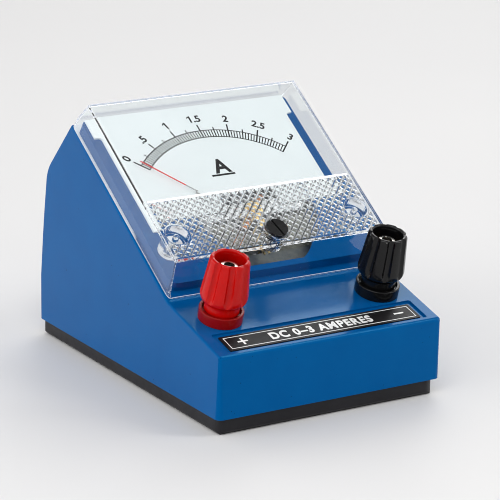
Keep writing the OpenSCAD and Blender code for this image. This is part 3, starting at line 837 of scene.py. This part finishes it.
def dial_print():
    bm = bmesh.new()
    z0, z1 = DIAL_Z - 0.004, DIAL_Z + PRINT
    half = 45.25
    arc_band(bm, 45.35, 0.42, half + 0.17, -half - 0.17, z0, z1, 96)
    arc_band(bm, 41.8, 0.42, half + 0.17, -half - 0.17, z0, z1, 96)
    for i in range(61):
        deg = half - 2 * half * i / 60
        if i % 10 == 0:
            radial_bar(bm, deg, 41.7, 48.6, 0.6, z0, z1 + 0.001)
        elif i % 5 == 0:
            radial_bar(bm, deg, 41.7, 46.9, 0.5, z0, z1 + 0.001)
        else:
            radial_bar(bm, deg, 41.7, 45.4, 0.42, z0, z1 + 0.001)
    for i, s in enumerate(("0", ".5", "1", "1.5", "2", "2.5", "3")):
        deg = half - 2 * half * i / 6
        x, y = polar(51.6, deg)
        m = Matrix.Translation((x * MM, y * MM, 0)) @ Matrix.Rotation(math.radians(deg), 4, "Z")
        join_into(bm, text_mesh(s, 4.6, m, PRINT, DIAL_Z + PRINT / 2, bold=0.14, stretch=1.0))
    # the unit, with the bar of direct current under it
    m = Matrix.Translation((0, (PIVOT_T - 34.65) * MM, 0))
    join_into(bm, text_mesh("A", 9.6, m, PRINT, DIAL_Z + PRINT / 2, bold=0.3))
    quad(bm, [(-5.9, PIVOT_T - 39.5), (4.3, PIVOT_T - 39.5), (4.3, PIVOT_T - 38.6), (-5.9, PIVOT_T - 38.6)], z0, z1)
    bm.transform(Matrix.Translation((0, -0.6 * MM, 0)))
    ob = from_bmesh("dial_marks", bm, PANEL)
    return smooth(ob, 30.0)


marks = dial_print()
paint(marks, "ink")
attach(marks, "case")

# the legend: a thin border, the two signs and a plain description of the range
ledge0 = Vector((0, post_frame("red").translation.y, post_frame("red").translation.z)) - l_u * 23.7 * MM
LEDGE = Matrix((
    (p_x.x, l_u.x, l_n.x, ledge0.x),
    (p_x.y, l_u.y, l_n.y, ledge0.y),
    (p_x.z, l_u.z, l_n.z, ledge0.z),
    (0, 0, 0, 1),
))
LABEL_Z = -0.4


def legend_print():
    bm = bmesh.new()
    cy = 8.2
    z0, z1 = LABEL_Z - 0.004, LABEL_Z + PRINT
    hw, hh, w = 40.0, 3.6, 0.32
    for x0, x1, y0, y1 in ((-hw, hw, hh - w, hh), (-hw, hw, -hh, -hh + w), (-hw, -hw + w, -hh + w, hh - w),
                           (hw - w, hw, -hh + w, hh - w)):
        quad(bm, [(x0, cy + y0), (x1, cy + y0), (x1, cy + y1), (x0, cy + y1)], z0, z1)
    for x, plus in ((-33.6, True), (34.2, False)):
        quad(bm, [(x - 2.1, cy - 0.42), (x + 2.1, cy - 0.42), (x + 2.1, cy + 0.42), (x - 2.1, cy + 0.42)], z0, z1)
        if plus:
            for s in (-1, 1):
                y0, y1 = sorted((s * 0.42, s * 2.1))
                quad(bm, [(x - 0.42, cy + y0), (x + 0.42, cy + y0), (x + 0.42, cy + y1), (x - 0.42, cy + y1)], z0, z1)
    m = Matrix.Translation((0, cy * MM, 0))
    join_into(bm, text_mesh("DC 0–3 AMPERES", 5.6, m, PRINT, LABEL_Z + PRINT / 2, bold=0.24, stretch=0.92, spacing=1.16))
    ob = from_bmesh("legend_marks", bm, LEDGE)
    return smooth(ob, 30.0)


legend = legend_print()
paint(legend, "label_white")
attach(legend, "case")

# ------------------------------------------------------------------ CAD nodes that keep their shape
KEEP = {
    "base_screws": "steel", "legend_strip": "label", "cover_screws": "steel", "dial_plate": "dial",
    "dial_screws": "pale_screw_painted_highlight", "movement_plate": "plate", "movement_screws": "steel", "yoke_ring": "iron",
    "core_magnet": "magnet", "core_spacers": "alu", "bridge_pillars": "brass", "front_bridge": "alu",
    "bridge_screws": "steel", "rear_pillars": "brass", "rear_bridge": "alu", "rear_bridge_screws": "steel",
    "front_jewel_screw": "brass", "rear_jewel_screw": "brass", "jewel_lock_nuts": "brass", "zero_lever": "brass",
    "rear_spring_arm": "brass", "front_hairspring": "bronze", "rear_hairspring": "bronze", "coil_former": "alu",
    "moving_coil": "copper", "front_staff": "steel", "rear_staff": "steel", "pointer_hub": "alu",
    "pointer": "pointer", "balance_weights": "brass", "shunt_bar": "shunt", "lead_positive": "lead_red",
    "lead_negative": "lead_black", "red_cap_insert": "brass", "red_clamp_washer": "nickel",
    "red_insulator": "insulator", "red_nuts": "nickel", "red_tag": "brass", "black_cap_insert": "brass",
    "black_clamp_washer": "nickel", "black_insulator": "insulator", "black_nuts": "nickel", "black_tag": "brass",
}
for node, key in KEEP.items():
    repaint_node(node, key)

# ------------------------------------------------------------------ floor, light, camera
def floor():
    bm = bmesh.new()
    bmesh.ops.create_grid(bm, x_segments=2, y_segments=2, size=4.0)
    ob = from_bmesh("studio_floor", bm)
    n = Nodes("floor_pale")
    col = n.mix(n.ramp(n.noise(3.0, 2.0, 0.5), 0.3, 0.7, 0.0, 1.0), (0.70, 0.697, 0.70, 1), (0.72, 0.717, 0.717, 1))
    p = n.principled(Base_Color=col, Roughness=0.6, Specular_IOR_Level=0.2)
    ob.data.materials.append(n.done(p.outputs[0]))
    return ob


floor()


def area(name, loc, target, size, power, colour=(1, 1, 1), size_y=None):
    li = bpy.data.lights.new(name, "AREA")
    li.energy = power
    li.color = colour
    li.shape = "RECTANGLE"
    li.size = size
    li.size_y = size_y or size
    ob = bpy.data.objects.new(name, li)
    ob.location = loc
    ob.rotation_euler = (Vector(target) - Vector(loc)).to_track_quat("-Z", "Y").to_euler()
    bpy.context.scene.collection.objects.link(ob)
    return ob


area("softbox_top", (-0.52, -0.62, 0.98), (0, 0, 0.04), 0.8, 5.8, size_y=0.8)
area("softbox_left", (-1.35, 0.1, 0.62), (0, 0, 0.04), 1.1, 6.0, size_y=1.0)
area("softbox_right", (1.2, -0.75, 0.55), (0, 0, 0.04), 0.8, 1.2, size_y=0.7)
area("edge_light", (0.61, -0.52, 0.92), (0, -0.06, 0.03), 0.2, 2.8, size_y=0.66)
area("softbox_back", (0.62, 0.68, 0.80), (0, 0, 0.04), 0.55, 2.8, size_y=0.55)


def studio():
    """A dim ceiling over bright walls, brighter behind than in front."""
    w = bpy.data.worlds.new("studio")
    w.use_nodes = True
    nt = w.node_tree
    tc = nt.nodes.new("ShaderNodeTexCoord")
    sep = nt.nodes.new("ShaderNodeSeparateXYZ")
    nt.links.new(tc.outputs["Generated"], sep.inputs[0])

    def ramp(axis, lo, hi, a, b, kind):
        r = nt.nodes.new("ShaderNodeMapRange")
        r.interpolation_type = kind
        for k, v in (("From Min", lo), ("From Max", hi), ("To Min", a), ("To Max", b)):
            r.inputs[k].default_value = v
        nt.links.new(sep.outputs[axis], r.inputs["Value"])
        return r.outputs["Result"]

    m = nt.nodes.new("ShaderNodeMath")
    m.operation = "MULTIPLY"
    nt.links.new(ramp("Z", 0.25, 0.85, 1.38, 0.3, "SMOOTHSTEP"), m.inputs[0])
    nt.links.new(ramp("Y", -1.0, 1.0, 0.56, 1.32, "LINEAR"), m.inputs[1])
    bg = nt.nodes["Background"]
    bg.inputs["Color"].default_value = (1.0, 0.995, 0.99, 1)
    nt.links.new(m.outputs[0], bg.inputs["Strength"])
    bpy.context.scene.world = w


studio()

cam = bpy.data.cameras.new("camera")
cam.sensor_width = 36.0
cam.sensor_fit = "HORIZONTAL"
cam.lens = 2586.72 / 500 * 36.0
cam.shift_x = 0.009686
cam.shift_y = -0.00245
cam.clip_start = 0.05
cam.clip_end = 20.0
cam_ob = bpy.data.objects.new("camera", cam)
right = Vector((0.84960395, -0.52710294, 0.01832006))
up = Vector((0.13383627, 0.24906017, 0.95919596))
back = -Vector((0.51015781, 0.81248478, -0.28214799))
cam_ob.matrix_world = Matrix((
    (right.x, up.x, back.x, pivot.x - 0.499454),
    (right.y, up.y, back.y, pivot.y - 0.795766),
    (right.z, up.z, back.z, pivot.z + 0.267522),
    (0, 0, 0, 1),
))
bpy.context.scene.collection.objects.link(cam_ob)
bpy.context.scene.camera = cam_ob

scene = bpy.context.scene
scene.view_settings.view_transform = "Standard"
scene.view_settings.look = "None"
scene.cycles.max_bounces = 32
scene.cycles.transmission_bounces = 32
scene.cycles.glossy_bounces = 12
scene.cycles.transparent_max_bounces = 32
scene.cycles.filter_width = 1.0
scene.cycles.caustics_reflective = False
scene.cycles.caustics_refractive = False
scene.cycles.sample_clamp_indirect = 6.0
